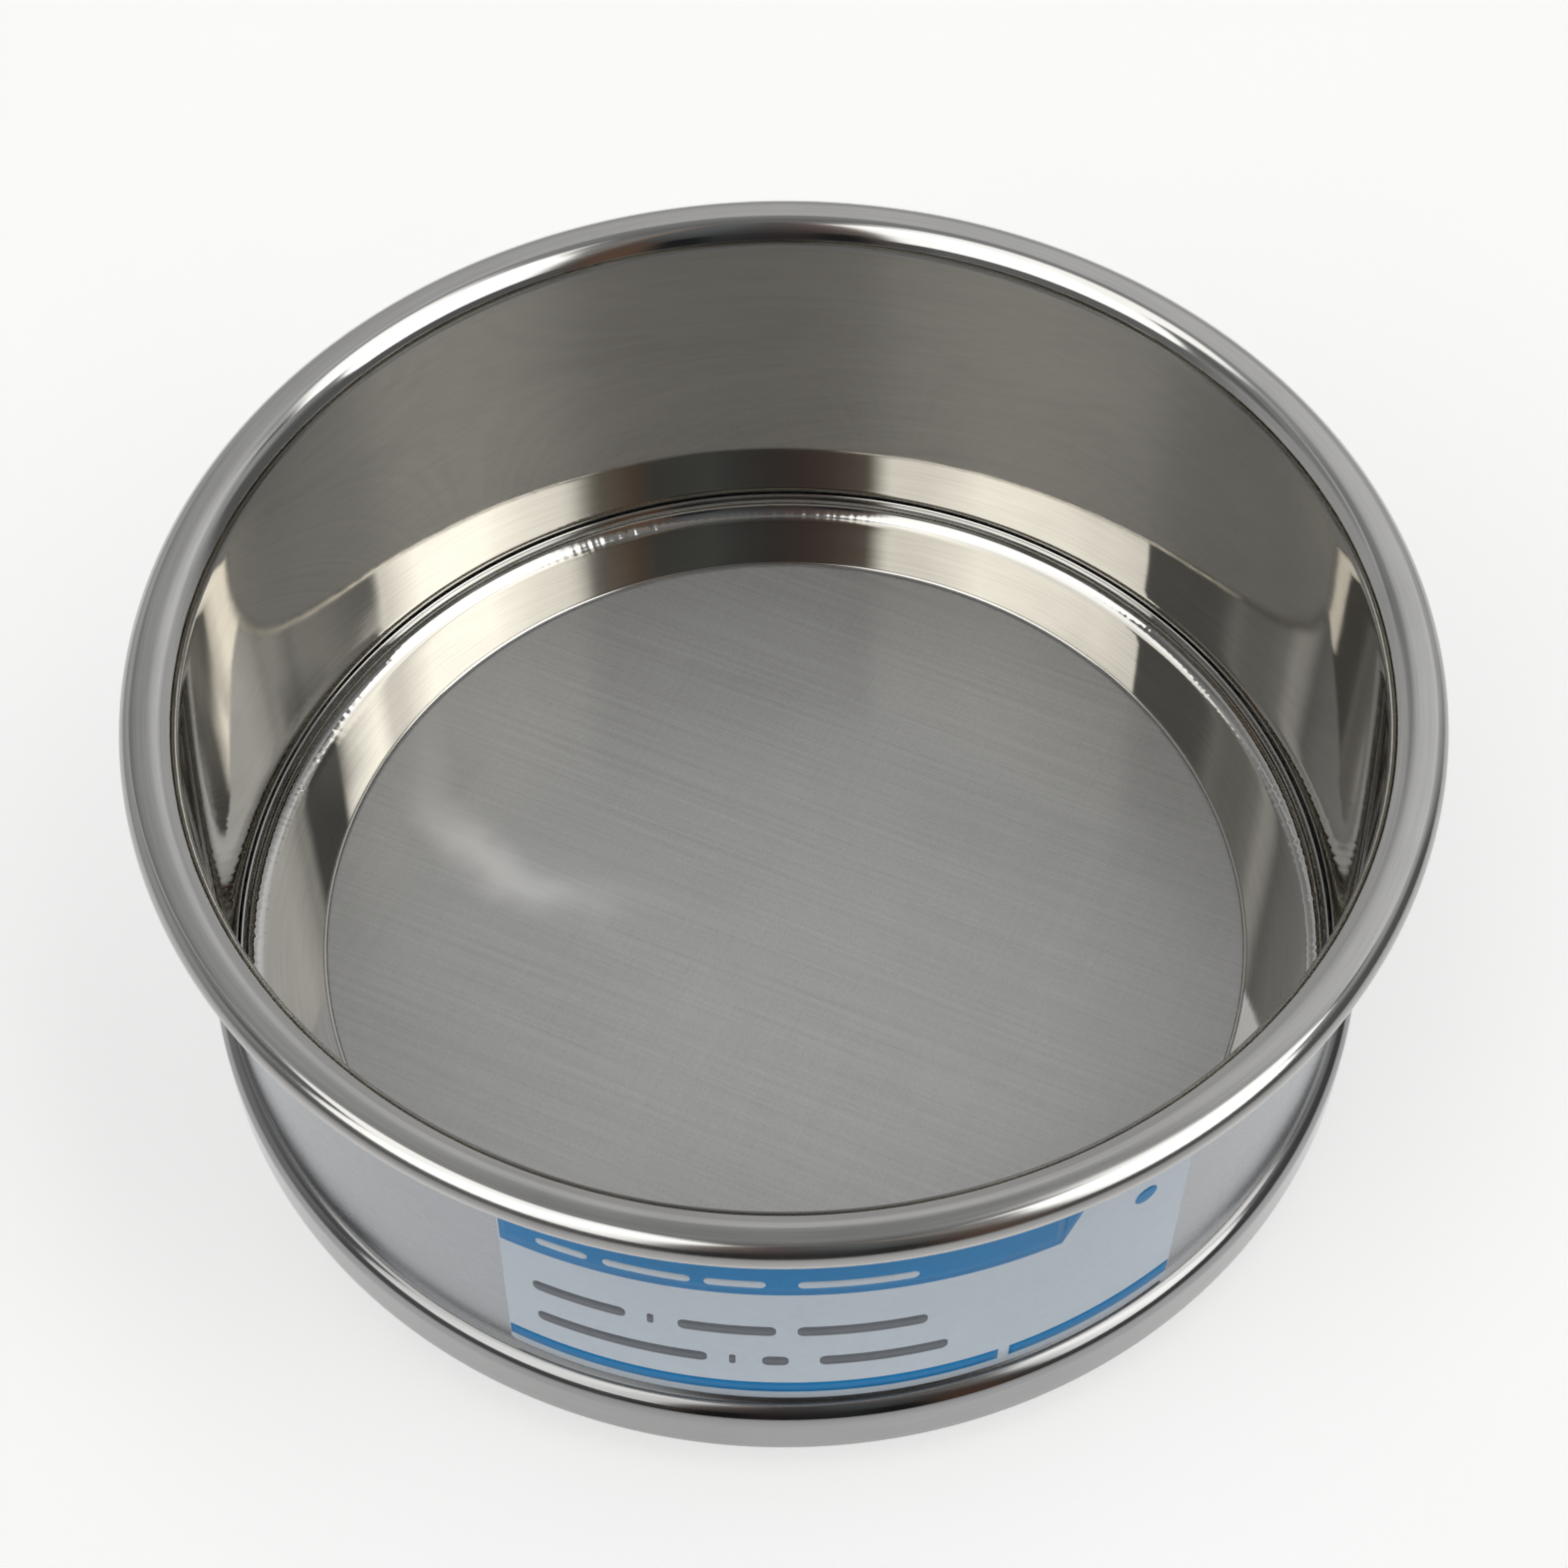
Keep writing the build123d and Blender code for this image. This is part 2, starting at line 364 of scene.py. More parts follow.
def ring_warp(R, Z, P):
    """Pressing the ring's corner up left fine radial pleats there, stronger in some places."""
    g = np.random.default_rng(21)
    phi = P[0]
    n = len(phi)
    pleat = np.zeros(n)
    where = np.zeros(n)
    for c, w, a in ((188, 16, 0.8), (205, 10, 0.7), (268, 28, 1.6), (298, 12, 1.0), (95, 26, 1.2), (70, 12, 0.7), (20, 30, 0.5), (330, 20, 0.5), (140, 9, 0.35)):
        d = (np.degrees(phi) - c + 180) % 360 - 180
        where += a * np.exp(-((d / w) ** 2))
    where = np.clip(where, 0.04, 1.6)
    at = 0.0
    while at < 360:
        at += g.uniform(0.5, 1.4)
        w = g.uniform(0.12, 0.30)
        h = g.uniform(0.2, 1.0) ** 1.5
        d = (np.degrees(phi) - at + 180) % 360 - 180
        pleat += h * np.exp(-((d / w) ** 2))
    pleat = pleat * where
    th = np.degrees(np.arctan2(Z - TURN_Z, R - TURN_C))       # -90 at the ledge, 0 at the lip
    on = np.clip(1 - np.abs((th + 62) / 30), 0, 1) * (R > TURN_C - 1.2)
    a = 0.032 * pleat[None] * on
    t = np.radians(th)
    slow = undulate(P, Z, 23, 0.006, range(6, 26, 3), 40.0) * np.clip((R - 44) / 2, 0, 1)
    return -a * np.cos(t), -a * np.sin(t) + slow * (R > 44)


ring_parts = [
    (arc((NOSE_C, NOSE_Z), NOSE_R, 270, RUN, 12), 0, False),
    (line((NOSE_C + NOSE_R * math.cos(math.radians(RUN)), LEDGE_Z), (TURN_C, LEDGE_Z), 8), 0, True),
    (arc((TURN_C, TURN_Z), TURN_R, -90, 0, 22), 0, False),
    (arc((50.605, TURN_Z), 0.175, 180, 0, 6), 0, False),
    (arc((TURN_C, TURN_Z), TURN_R + 0.35, 0, -90, 8), 0, False),
    (line((TURN_C, 6.12), (NOSE_C, 6.12), 2), 0, False),
]
ring = lathe("retaining_ring_pressed", ring_parts, NR, [steel_ring], ring_warp)
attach(ring, "root")
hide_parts("retaining_ring")

# ----------------------------------------------------------- backing ring
backing_parts = [
    (arc((50.5, 5.8), 0.2, -90, 90, 6), 0, False),
    (line((50.5, 6.0), (44.3, 6.0), 4), 0, False),
    (arc((44.3, 5.3), 0.7, 90, 180, 8), 0, False),
    (line((43.6, 5.3), (43.6, 4.66), 3), 0, False),
    (arc((43.66, 4.66), 0.06, 180, 270, 2), 0, False),
    (line((43.66, 4.6), (43.94, 4.6), 1), 0, False),
    (arc((43.94, 4.66), 0.06, 270, 360, 2), 0, False),
    (line((44.0, 4.66), (44.0, 5.3), 3), 0, False),
    (arc((44.3, 5.3), 0.3, 180, 90, 6), 0, False),
    (line((44.3, 5.6), (50.5, 5.6), 4), 0, False),
]
backing = lathe("backing_ring_turned", backing_parts, 288, [steel_back])
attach(backing, "root")
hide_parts("backing_ring")

# ------------------------------------------------------------------ cloth
kc = Tree("woven_wire_cloth")
cx, cy, cz = kc.xyz(kc.obj)
ang = math.radians(-25)
u = kc.math("ADD", kc.math("MULTIPLY", cx, math.cos(ang)), kc.math("MULTIPLY", cy, math.sin(ang)))
v = kc.math("ADD", kc.math("MULTIPLY", cx, -math.sin(ang)), kc.math("MULTIPLY", cy, math.cos(ang)))
PITCH = 0.00020
warp_w = kc.math("SINE", kc.math("MULTIPLY", u, 2 * math.pi / PITCH))
weft_w = kc.math("SINE", kc.math("MULTIPLY", v, 2 * math.pi / PITCH))
weave = kc.math("MULTIPLY", warp_w, weft_w)
# threads drawn a little tighter or slacker: long faint streaks along the weft
streak = kc.noise(kc.combine(kc.math("MULTIPLY", u, 28), kc.math("MULTIPLY", v, 1900), 0.0), 1, 4, 0.7)
streak2 = kc.noise(kc.combine(kc.math("MULTIPLY", u, 2600), kc.math("MULTIPLY", v, 34), 3.0), 1, 3, 0.6)
grain = kc.noise(kc.scaled(kc.obj, (7600, 7600, 7600)), 1, 2, 0.6)
patch = kc.noise(kc.scaled(kc.obj, (32, 32, 32)), 1, 4, 0.6, 0.5)
tone = kc.math("ADD", kc.math("MULTIPLY", streak, 0.36), kc.math("MULTIPLY", streak2, 0.10))
tone = kc.math("ADD", tone, kc.math("MULTIPLY", grain, 0.34))
tone = kc.math("ADD", tone, kc.math("MULTIPLY", patch, 0.20))
col = kc.ramp(tone, [(0.30, (0.385, 0.389, 0.392)), (0.5, (0.51, 0.514, 0.517)), (0.70, (0.635, 0.639, 0.642))])
# a few specks caught in the cloth
vor = kc.t.nodes.new("ShaderNodeTexVoronoi")
vor.inputs["Scale"].default_value = 62
kc.put(vor.inputs["Vector"], kc.scaled(kc.obj, (1, 1, 0)))
speck = kc.span(vor.outputs["Distance"], 0.012, 0.022, 1, 0, True)
col = kc.mix(kc.math("MULTIPLY", speck, 0.6), col, (0.12, 0.11, 0.10, 1))
# along the crease the cloth's colour is painted lighter: a painted highlight for the glare off the crease
qx, qy = kc.math("ADD", cx, 0.0146), kc.math("SUBTRACT", cy, 0.0225)
rho = kc.math("SQRT", kc.math("ADD", kc.math("MULTIPLY", qx, qx), kc.math("MULTIPLY", qy, qy)))
wander = kc.math("MULTIPLY", kc.math("SUBTRACT", kc.noise(kc.scaled(kc.obj, (120, 120, 0)), 1, 2, 0.5), 0.5), 0.006)
off_crease = kc.math("ABSOLUTE", kc.math("ADD", kc.math("SUBTRACT", rho, 0.0212), wander))
turn = kc.math("ARCTAN2", kc.math("MULTIPLY", qy, -1), kc.math("MULTIPLY", qx, -1))
along = kc.ramp(kc.span(turn, -0.5, 1.7, 0, 1), [(0.0, (0, 0, 0)), (0.14, (0.25,) * 3), (0.34, (0.5,) * 3), (0.55, (1, 1, 1)), (0.72, (0.95,) * 3), (0.86, (0.3,) * 3), (0.95, (0, 0, 0))], "EASE")
painted_glare = kc.math("MULTIPLY", kc.span(off_crease, 0.0, 0.0040, 0.58, 0.0, True), along)
col = kc.mix(painted_glare, col, (0.86, 0.86, 0.86, 1))
# seen on the slant the wires hide the light behind the cloth, and it looks darker
slant = kc.t.nodes.new("ShaderNodeLayerWeight")
slant.inputs["Blend"].default_value = 0.5
col = kc.mix(kc.span(slant.outputs["Facing"], 0.12, 0.27, 0.0, 0.41, True), col, (0.0, 0.0, 0.0, 1))
kc.put(kc.b.inputs["Base Color"], col)
kc.b.inputs["Metallic"].default_value = 0.45
kc.b.inputs["Coat Weight"].default_value = 0.45
kc.b.inputs["Coat IOR"].default_value = 1.9
kc.b.inputs["Coat Roughness"].default_value = 0.24
kc.put(kc.b.inputs["Roughness"], kc.span(tone, 0.3, 0.7, 0.54, 0.64))
nrm = kc.bump(patch, 0.22, 0.0006)
nrm = kc.bump(weave, 0.25, 0.00002, nrm)
nrm = kc.bump(kc.math("ADD", grain, streak), 0.5, 0.00003, nrm)
kc.put(kc.b.inputs["Normal"], nrm)


CREASE_X, CREASE_Y, CREASE_R = -14.6, 22.5, 20.5


def cloth_mesh():
    """The cloth's disc, closed, with very slight slack in the span inside the ring."""
    nr, n = 56, 288
    rad = np.concatenate([np.linspace(0, 43.0, nr), [43.6, 46.0, 50.0]])
    phi = np.linspace(0, 2 * math.pi, n, endpoint=False)
    g = np.random.default_rng(5)
    waves = [(g.uniform(-1, 1), g.uniform(-1, 1), g.uniform(0, 6.28), g.uniform(0.5, 1)) for _ in range(9)]
    verts, faces = [], []
    for side, z in ((0, 6.12), (1, 6.0)):
        for k, r in enumerate(rad):
            if k == 0:
                xs, ys = np.array([0.0]), np.array([0.0])
            else:
                xs, ys = r * np.sin(phi), -r * np.cos(phi)
            d = sum(a * np.cos((kx * xs + ky * ys) * 0.16 + p) for kx, ky, p, a in waves) / len(waves)
            d = d * 0.05 * np.clip((42.5 - r) / 6, 0, 1)
            # a shallow curved crease: a step where the cloth isn't drawn quite tight, fading out to both sides
            qx, qy = xs - CREASE_X, ys - CREASE_Y
            rho, turn = np.hypot(qx, qy), np.degrees(np.arctan2(-qy, -qx))
            f = np.clip((CREASE_R - rho + 2.4) / 4.8, 0, 1)
            f = f * f * (3 - 2 * f) * np.exp(-((np.maximum(CREASE_R - rho, 0) / 8.0) ** 2))
            d = d + 0.36 * f * np.exp(-(((turn - 40) / 34) ** 2)) * np.clip((42.0 - r) / 8, 0, 1)
            verts.append(np.stack([xs, ys, z + d], 1))
    off = np.concatenate([[0], np.cumsum([len(v) for v in verts])])
    m = len(rad)
    for side in (0, 1):
        o = side * m
        for j in range(n):
            j2 = (j + 1) % n
            f = [off[o], off[o + 1] + j, off[o + 1] + j2]
            faces.append(f if side == 0 else f[::-1])
        for k in range(1, m - 1):
            a, b = off[o + k], off[o + k + 1]
            for j in range(n):
                j2 = (j + 1) % n
                f = [a + j, b + j, b + j2, a + j2]
                faces.append(f if side == 0 else f[::-1])
    a, b = off[m - 1], off[2 * m - 1]
    for j in range(n):
        j2 = (j + 1) % n
        faces.append([a + j, b + j, b + j2, a + j2])
    co = np.concatenate(verts) * MM
    me = bpy.data.meshes.new("wire_cloth")
    me.from_pydata(co.tolist(), [], [list(map(int, f)) for f in faces])
    me.polygons.foreach_set("use_smooth", np.ones(len(me.polygons), bool))
    me.update()
    return me


cloth = bpy.data.objects.new("woven_wire_cloth", cloth_mesh())
bpy.context.scene.collection.objects.link(cloth)
cloth.data.materials.append(kc.m)
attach(cloth, "root")
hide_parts("sieve_cloth")

# ------------------------------------------------------------------ label
# The label is worked out flat: s is the distance round the wall in mm from
# the front, t the height above the bead's underside, turned by the label's tilt.
LAB_R = 51.4
LAB_T = 0.12
A0, A1 = -26.4, 38.8
S_MID = math.radians((A0 + A1) / 2) * LAB_R
T_MID = (7.4 + 34.9) / 2
LAB_W = math.radians(A1 - A0) * LAB_R
LAB_H = 27.5
TILT = math.radians(1.0)


def on_wall(s, t, lift):
    """A point of the label's own plane, (0, 0) at its middle, put on the wall."""
    ss = S_MID + s * math.cos(TILT) + t * math.sin(TILT)
    tt = T_MID - s * math.sin(TILT) + t * math.cos(TILT)
    a = ss / LAB_R
    r = LAB_R + lift
    return r * np.sin(a), -r * np.cos(a), ZB + tt


def sheet_patch(name, s_edges, low, high, lift, thick, nt, material):
    """A thin closed piece on the wall: for each s the height runs from low to high."""
    s = np.asarray(s_edges, float)
    lo, hi = np.asarray(low, float), np.asarray(high, float)
    f = np.linspace(0, 1, nt + 1)
    S = np.repeat(s[:, None], nt + 1, 1)
    T = lo[:, None] * (1 - f) + hi[:, None] * f
    x, y, z = on_wall(S, T, lift + thick)
    top = np.stack([x, y, z], -1)
    x, y, z = on_wall(S, T, lift)
    bot = np.stack([x, y, z], -1)
    a, b = S.shape
    co = np.concatenate([top.reshape(-1, 3), bot.reshape(-1, 3)]) * MM
    idx = np.arange(a * b).reshape(a, b)
    q = np.stack([idx[:-1, :-1], idx[1:, :-1], idx[1:, 1:], idx[:-1, 1:]], -1).reshape(-1, 4)
    faces = q.tolist() + (q[:, ::-1] + a * b).tolist()
    loop = list(idx[:, 0]) + list(idx[-1, 1:]) + list(idx[-2::-1, -1]) + list(idx[0, -2:0:-1])
    for k in range(len(loop)):
        p, n2 = int(loop[k]), int(loop[(k + 1) % len(loop)])
        faces.append([n2, p, p + a * b, n2 + a * b])
    me = bpy.data.meshes.new(name)
    me.from_pydata(co.tolist(), [], faces)
    me.polygons.foreach_set("use_smooth", np.arange(len(me.polygons)) < len(q))
    me.update()
    me.materials.append(material)
    o = bpy.data.objects.new(name, me)
    bpy.context.scene.collection.objects.link(o)
    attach(o, "root")
    return o


def rounded(s0, s1, t0, t1, r, n):
    """Columns of a rounded rectangle, closer together in its corners."""
    c = np.radians(np.linspace(0, 90, 7))
    left = s0 + r * (1 - np.cos(c))
    right = s1 - r * (1 - np.cos(c[::-1]))
    s = np.concatenate([left, np.linspace(s0 + r, s1 - r, n + 1)[1:-1], right])
    d = np.maximum(0, np.maximum(s0 + r - s, s - (s1 - r)))
    drop = r - np.sqrt(np.maximum(0, r * r - d * d))
    return s, t0 + drop + 1e-4, t1 - drop - 1e-4


def film(name, base, spread, rough, bump=0.12, level=0.12):
    """Printed film: a trace of mottle from the ink, soft gloss and the faint orange peel of the wall's curve."""
    k = Tree(name)
    mott = k.noise(k.scaled(k.obj, (900, 900, 900)), 1, 3, 0.6)
    slow = k.noise(k.scaled(k.obj, (60, 60, 60)), 1, 3, 0.5)
    f = k.math("ADD", k.math("MULTIPLY", mott, 0.45), k.math("MULTIPLY", slow, 0.55))
    lo = tuple(max(0, c - spread * c) for c in base)
    hi = tuple(min(1, c + spread * c * 0.7) for c in base)
    k.put(k.b.inputs["Base Color"], k.ramp(f, [(0.35, lo), (0.5, base), (0.65, hi)]))
    k.put(k.b.inputs["Roughness"], k.span(f, 0.3, 0.7, rough * 0.85, rough * 1.15))
    k.b.inputs["Specular IOR Level"].default_value = level
    k.put(k.b.inputs["Normal"], k.bump(f, bump, 0.0001))
    return k.m


film_white = film("label_film_white", (0.60, 0.675, 0.755), 0.05, 0.38)
ink_blue = film("label_ink_blue", (0.005, 0.215, 0.52), 0.12, 0.34)
ink_grey = film("label_ink_grey", (0.17, 0.185, 0.21), 0.15, 0.42)

HALF_W, HALF_H = LAB_W / 2, LAB_H / 2
s, lo, hi = rounded(-HALF_W, HALF_W, -HALF_H, HALF_H, 0.6, 96)
label = sheet_patch("label_film", s, lo, hi, 0.0, LAB_T, 12, film_white)
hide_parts("label")

INK = 0.008
T_BASE = -HALF_H + 0.75          # foot of the printing; a white margin is left under it


def to_s(az):
    return math.radians(az) * LAB_R - S_MID


# top band, with its lower edge bowed and its right end cut on a slant
s = np.linspace(to_s(-26.3) + 0.05, to_s(24.9), 70)
low = T_BASE + 17.65 + 0.45 * np.sin((s - s[0]) / (s[-1] - s[0]) * math.pi)
high = np.full_like(s, HALF_H - 1.6)
sheet_patch("label_band_top", s, low, high, LAB_T, INK, 6, ink_blue)
s2 = np.linspace(to_s(24.9), to_s(28.2), 14)
low2 = low[-1] + (high[-1] - low[-1]) * ((s2 - s2[0]) / (s2[-1] - s2[0])) ** 1.0
sheet_patch("label_band_end", s2, np.minimum(low2, high[-1] - 1e-3), np.full_like(s2, high[-1]), LAB_T, INK, 4, ink_blue)

# bottom line
s = np.linspace(-HALF_W + 0.05, to_s(20.0), 60)
sheet_patch("label_line_low_a", s, np.full_like(s, T_BASE + 0.40), np.full_like(s, T_BASE + 2.15), LAB_T, INK, 3, ink_blue)
s = np.linspace(to_s(21.1), HALF_W - 0.05, 30)
sheet_patch("label_line_low_b", s, np.full_like(s, T_BASE + 0.40), T_BASE + 2.1 + 0.35 * (s - s[0]) / (s[-1] - s[0]), LAB_T, INK, 3, ink_blue)

# round dot on the right
c = np.linspace(math.pi, 0, 17)
s = to_s(33.7) + 1.1 * np.cos(c)
h = 1.1 * np.sin(c)
mid_t = T_BASE + 18.5
sheet_patch("label_dot", s, mid_t - h - 1e-4, mid_t + h + 1e-4, LAB_T, INK, 4, ink_blue)

# two rows of plain dashes where the label has its printed lines
rows = (
    (10.85, 12.45, ((-23.4, -14.6), (-12.6, -12.0), (-9.8, -1.0), (0.9, 12.6))),
    (5.45, 7.05, ((-23.2, -7.2), (-5.2, -4.6), (-2.2, 0.2), (3.0, 14.8))),
)
count = 0
for t0, t1, words in rows:
    for w0, w1 in words:
        a, b = to_s(w0), to_s(w1)
        s, lo, hi = rounded(a, b, T_BASE + t0, T_BASE + t1, min(0.6, (b - a) / 2 - 1e-3), max(2, round(b - a)))
        sheet_patch(f"label_bar_{count:02d}", s, lo, hi, LAB_T, INK, 2, ink_grey)
        count += 1

# plain white bars along the upper edge of the top band
for k, (w0, w1) in enumerate(((-22.6, -17.8), (-16.4, -8.6), (-7.4, -2.0), (0.8, 11.4))):
    a, b = to_s(w0), to_s(w1)
    s, lo, hi = rounded(a, b, T_BASE + 19.3, T_BASE + 20.4, 0.5, max(2, round(b - a)))
    sheet_patch(f"label_white_bar_{k}", s, lo, hi, LAB_T + INK, INK * 0.6, 2, film_white)

# ------------------------------------------------------------ stage: floor
kf = Tree("stage_floor")
fx, fy, fz = kf.xyz(kf.obj)
# painted shadow on the floor: darker in front, where the photographer's shadow falls, and painted shade darker out to
# both sides
front = kf.ramp(kf.span(fy, -0.5, 0.0, 0, 1), [(0.0, (0.66,) * 3), (0.6, (0.70,) * 3), (0.76, (0.76,) * 3), (0.83, (0.85,) * 3), (0.872, (1.0,) * 3)])
beside = kf.math("SUBTRACT", kf.math("ABSOLUTE", fx), kf.math("MULTIPLY", fy, 0.2))
side = kf.ramp(kf.span(beside, 0.0, 0.4, 0, 1), [(0.20, (1.0,) * 3), (0.30, (0.90,) * 3), (0.50, (0.82,) * 3), (1.0, (0.76,) * 3)])
painted_floor_shade = kf.math("MULTIPLY", front, side)
fl = kf.noise(kf.scaled(kf.obj, (9, 9, 9)), 1, 2, 0.5)
kf.put(kf.b.inputs["Base Color"], kf.mix(painted_floor_shade, (0, 0, 0, 1), kf.ramp(fl, [(0.3, (0.49, 0.49, 0.49)), (0.7, (0.51, 0.51, 0.51))])))
# the floor also glows by its emission: painted light that keeps it pale and its contact shadow faint
kf.put(kf.b.inputs["Emission Color"], kf.mix(painted_floor_shade, (0, 0, 0, 1), (1, 1, 1, 1)))
kf.b.inputs["Roughness"].default_value = 0.9
kf.b.inputs["Emission Strength"].default_value = 0.57
fm = bpy.data.meshes.new("stage_floor")
F = 3.0
fm.from_pydata([(-F, -F, 0), (F, -F, 0), (F, F, 0), (-F, F, 0)], [], [(0, 1, 2, 3)])
fm.materials.append(kf.m)
floor = bpy.data.objects.new("stage_floor", fm)
bpy.context.scene.collection.objects.link(floor)
floor.location.z = -0.00002

# ------------------------------------------------------------------ light
# The surroundings: a white tent, open towards the photographer, who stands
# dark in front of it. Directions are fixed in the room.
world = bpy.data.worlds.new("tent")
bpy.context.scene.world = world
world.use_nodes = True
wt = world.node_tree
wt.nodes.clear()


class WorldTree(Tree):
    def __init__(self, tree):
        self.t = tree


w = WorldTree(wt)
wc = wt.nodes.new("ShaderNodeTexCoord")
dx, dy, dz = w.xyz(wc.outputs["Generated"])
el = w.math("MULTIPLY", w.math("ARCSINE", dz), 180 / math.pi)
az = w.math("MULTIPLY", w.math("ARCTAN2", dx, w.math("MULTIPLY", dy, -1)), 180 / math.pi)


def between(f, a, b, soft):
    up = w.span(f, a - soft, a + soft, 0, 1, True)
    dn = w.span(f, b - soft, b + soft, 1, 0, True)
    return w.math("MULTIPLY", up, dn)


def over(base, mask, value):
    """value painted over base where mask is 1."""
    return w.mix(mask, base, (*value, 1) if isinstance(value, tuple) else value)


def by_azimuth(stops, tint=(1, 1, 1)):
    """Brightness round the room: (azimuth, value) pairs, up to 4 in value."""
    return w.ramp(w.span(az, -180, 180, 0, 1), [((a + 180) / 360, tuple(v * t for t in tint)) for a, v in stops])


# the room behind and at the sides, low down: plain grey
colour = by_azimuth([(-180, 0.42), (-150, 0.42), (-140, 0.46), (-120, 0.40), (-85, 0.38), (-72, 0.17), (-26, 0.15), (-24, 0.10), (36, 0.10), (40, 0.12), (108, 0.13), (116, 0.34), (128, 0.50), (150, 0.45), (180, 0.42)])
# above it, a darker belt under the edge of the white panels, with the tent's seams in it
belt = by_azimuth([(-180, 0.56), (-168, 0.46), (-154, 0.28), (-140, 0.25), (-133, 0.20), (-128.5, 0.46), (-125, 0.50), (-121, 0.31), (-116, 0.25), (-109, 0.25), (-105, 0.30), (-100.5, 0.17), (-94, 0.155), (-60, 0.17), (60, 0.16), (98, 0.30), (108, 0.40), (115, 0.42), (118, 0.34), (123, 0.52), (128, 0.47), (131, 0.62), (138, 0.75), (155, 0.68), (180, 0.56)])
colour = over(colour, w.span(el, 30, 44, 0, 1, True), belt)


def edge(stops):
    """Elevation of an edge, in hundredths, round the room."""
    return w.ramp(w.span(az, -180, 180, 0, 1), [((a + 180) / 360, (e * 0.01,) * 3) for a, e in stops])


el100 = w.math("MULTIPLY", el, 0.01)


def panel(low, high, a0, a1, soft0, soft1, edge_soft=0.011):
    m = w.math("MULTIPLY", w.span(az, a0 - soft0, a0 + soft0, 0, 1, True), w.span(az, a1 - soft1, a1 + soft1, 1, 0, True))
    m = w.math("MULTIPLY", m, w.span(w.math("SUBTRACT", el100, edge(low)), -edge_soft, edge_soft, 0, 1, True))
    return w.math("MULTIPLY", m, w.span(w.math("SUBTRACT", el100, edge(high)), -0.03, 0.03, 1, 0, True))


# white panels: their lower edges drop towards the front on both sides, and they stop short of the back
left = panel([(-180, 66), (-150, 66), (-130, 63), (-110, 60.5), (-95, 60), (-84, 59.5), (-80.5, 53), (-79.5, 49), (-76, 40), (-72, 30), (-24, 28), (180, 28)],
             [(-180, 80), (-150, 80), (-130, 84), (-60, 84), (-24, 80), (180, 80)], -149, -14, 6, 1)
right = panel([(-180, 27), (60, 27), (75, 28), (84, 40), (89, 48.5), (92, 50.8), (96, 51.6), (100, 52.2), (106, 52.9), (110, 53.7), (114, 57), (126, 61), (145, 62.5), (180, 62)],
              [(-180, 50), (40, 51), (49, 65), (55, 67), (70, 73), (90, 78), (112, 78), (130, 75), (150, 70), (166, 66), (180, 64)], 41, 166, 5.5, 5)
panels = w.math("MAXIMUM", left, right)
panel_light = by_azimuth([(-180, 1.3), (-150, 1.4), (-100, 1.5), (-78, 1.56), (-70, 1.78), (-66, 1.8), (-58, 2.0), (-50, 2.1), (-42, 2.15), (-36, 1.85), (-30, 1.65), (-14, 1.6), (40, 1.5), (46, 1.75), (52, 2.0), (57, 2.3), (64, 2.7), (80, 2.72), (84, 2.2), (89, 1.6), (93, 1.6), (96.5, 2.5), (103, 2.2), (110, 1.8), (180, 1.5)], (1.0, 0.995, 0.975))
# ceiling and the gap above the back wall
colour = over(colour, w.span(el, 57, 62, 0, 1, True), by_azimuth([(-180, 0.27), (-155, 0.34), (-136, 0.48), (-128, 0.30), (-24, 0.20), (40, 0.20), (60, 0.30), (140, 0.30), (180, 0.27)]))
colour = over(colour, w.span(el, 68, 84, 0, 1, True), (0.19, 0.19, 0.19))
# a dark fold between the right panel and the back
colour = over(colour, w.math("MULTIPLY", between(az, 108, 124.5, 2.0), between(el, 52.4, 58, 1.4)), (0.12, 0.12, 0.12))
colour = over(colour, panels, panel_light)
# photographer and camera, dark, darkest low down, with a warm sleeve at one side
body = w.ramp(w.span(az, -30, 42, 0, 1), [(0.0, (0.34, 0.31, 0.28)), (0.17, (0.32, 0.28, 0.25)), (0.21, (0.24, 0.20, 0.18)), (0.28, (0.17, 0.135, 0.125)), (0.36, (0.13, 0.10, 0.097)), (0.45, (0.11, 0.10, 0.10)), (0.55, (0.125, 0.13, 0.135)), (0.62, (0.155, 0.165, 0.17)), (0.78, (0.14, 0.143, 0.147)), (0.84, (0.22, 0.17, 0.14)), (0.92, (0.36, 0.31, 0.27)), (1.0, (0.42, 0.39, 0.36))])
body = w.mix(w.ramp(w.span(el, 0, 90, 0, 1), [(0.0, (0.28,) * 3), (0.1, (0.3,) * 3), (0.28, (0.36,) * 3), (0.46, (0.54,) * 3), (0.63, (0.78,) * 3), (0.81, (1.0,) * 3)]), (0, 0, 0, 1), body)
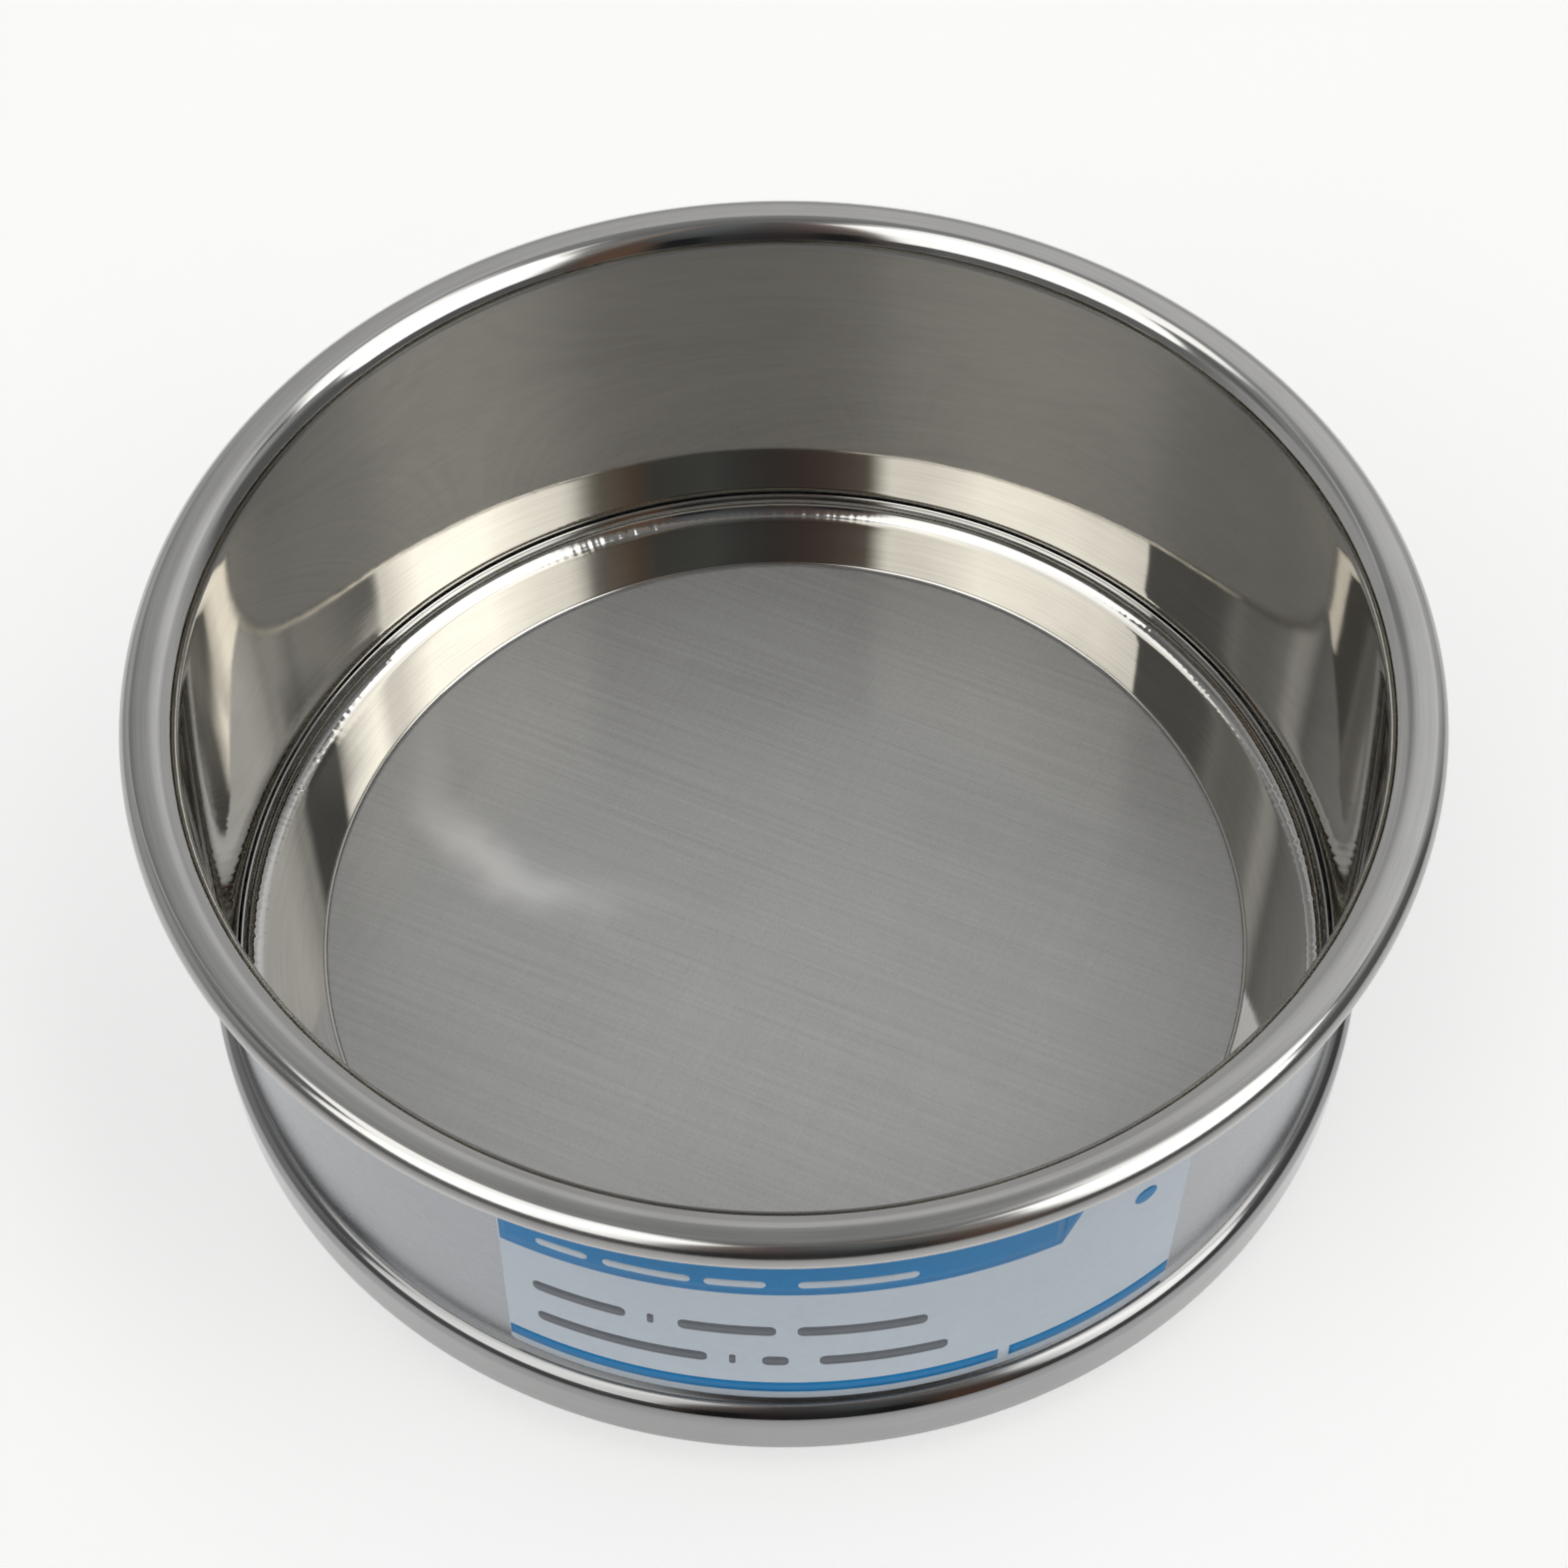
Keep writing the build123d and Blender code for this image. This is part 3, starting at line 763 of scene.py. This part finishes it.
colour = over(colour, w.math("MULTIPLY", w.math("MULTIPLY", w.span(az, -23, -17, 0, 1, True), w.span(az, 33, 44, 1, 0, True)), between(el, -2, 83, 4)), body)
colour = over(colour, w.math("MULTIPLY", between(az, -15, -6, 3), between(el, 2, 36, 4)), (0.018, 0.018, 0.02))
colour = over(colour, w.math("MULTIPLY", between(az, 12, 21, 3), between(el, 2, 36, 4)), (0.018, 0.018, 0.02))
colour = over(colour, w.math("MULTIPLY", between(az, 22, 33, 3), between(el, 0, 44, 5)), (0.14, 0.085, 0.06))
bg = wt.nodes.new("ShaderNodeBackground")
w.put(bg.inputs[0], colour)
bg.inputs[1].default_value = 1.0
wo = wt.nodes.new("ShaderNodeOutputWorld")
wt.links.new(bg.outputs[0], wo.inputs[0])

# ----------------------------------------------------------------- camera
EL, DIST, LOOK_Z, ROLL = math.radians(54.45), 0.278463, 0.027957, math.radians(-0.392)
fwd = np.array([0, math.cos(EL), -math.sin(EL)])
right_v = np.array([1.0, 0, 0])
up_v = np.cross(right_v, fwd)
r3 = right_v * math.cos(ROLL) + up_v * math.sin(ROLL)
u3 = up_v * math.cos(ROLL) - right_v * math.sin(ROLL)
pos = np.array([0, -DIST * math.cos(EL), LOOK_Z + DIST * math.sin(EL)])
cd = bpy.data.cameras.new("camera")
cd.sensor_width = 36.0
cd.lens = 3150.9 / 1570 * 36.0
cd.clip_start, cd.clip_end = 0.01, 20
camera = bpy.data.objects.new("camera", cd)
bpy.context.scene.collection.objects.link(camera)
mw = Matrix.Identity(4)
for k in range(3):
    mw[k][0], mw[k][1], mw[k][2], mw[k][3] = r3[k], u3[k], -fwd[k], pos[k]
camera.matrix_world = mw
bpy.context.scene.camera = camera

# ----------------------------------------------------------------- render
sc = bpy.context.scene
sc.view_settings.view_transform = "Standard"
sc.view_settings.look = "None"
sc.view_settings.exposure = 0.0
sc.view_settings.gamma = 1.0
sc.cycles.max_bounces = 8
sc.cycles.glossy_bounces = 8
sc.cycles.diffuse_bounces = 2
sc.cycles.transmission_bounces = 0
sc.cycles.adaptive_threshold = 0.04
sc.cycles.use_denoising = True
sc.cycles.sample_clamp_indirect = 8.0
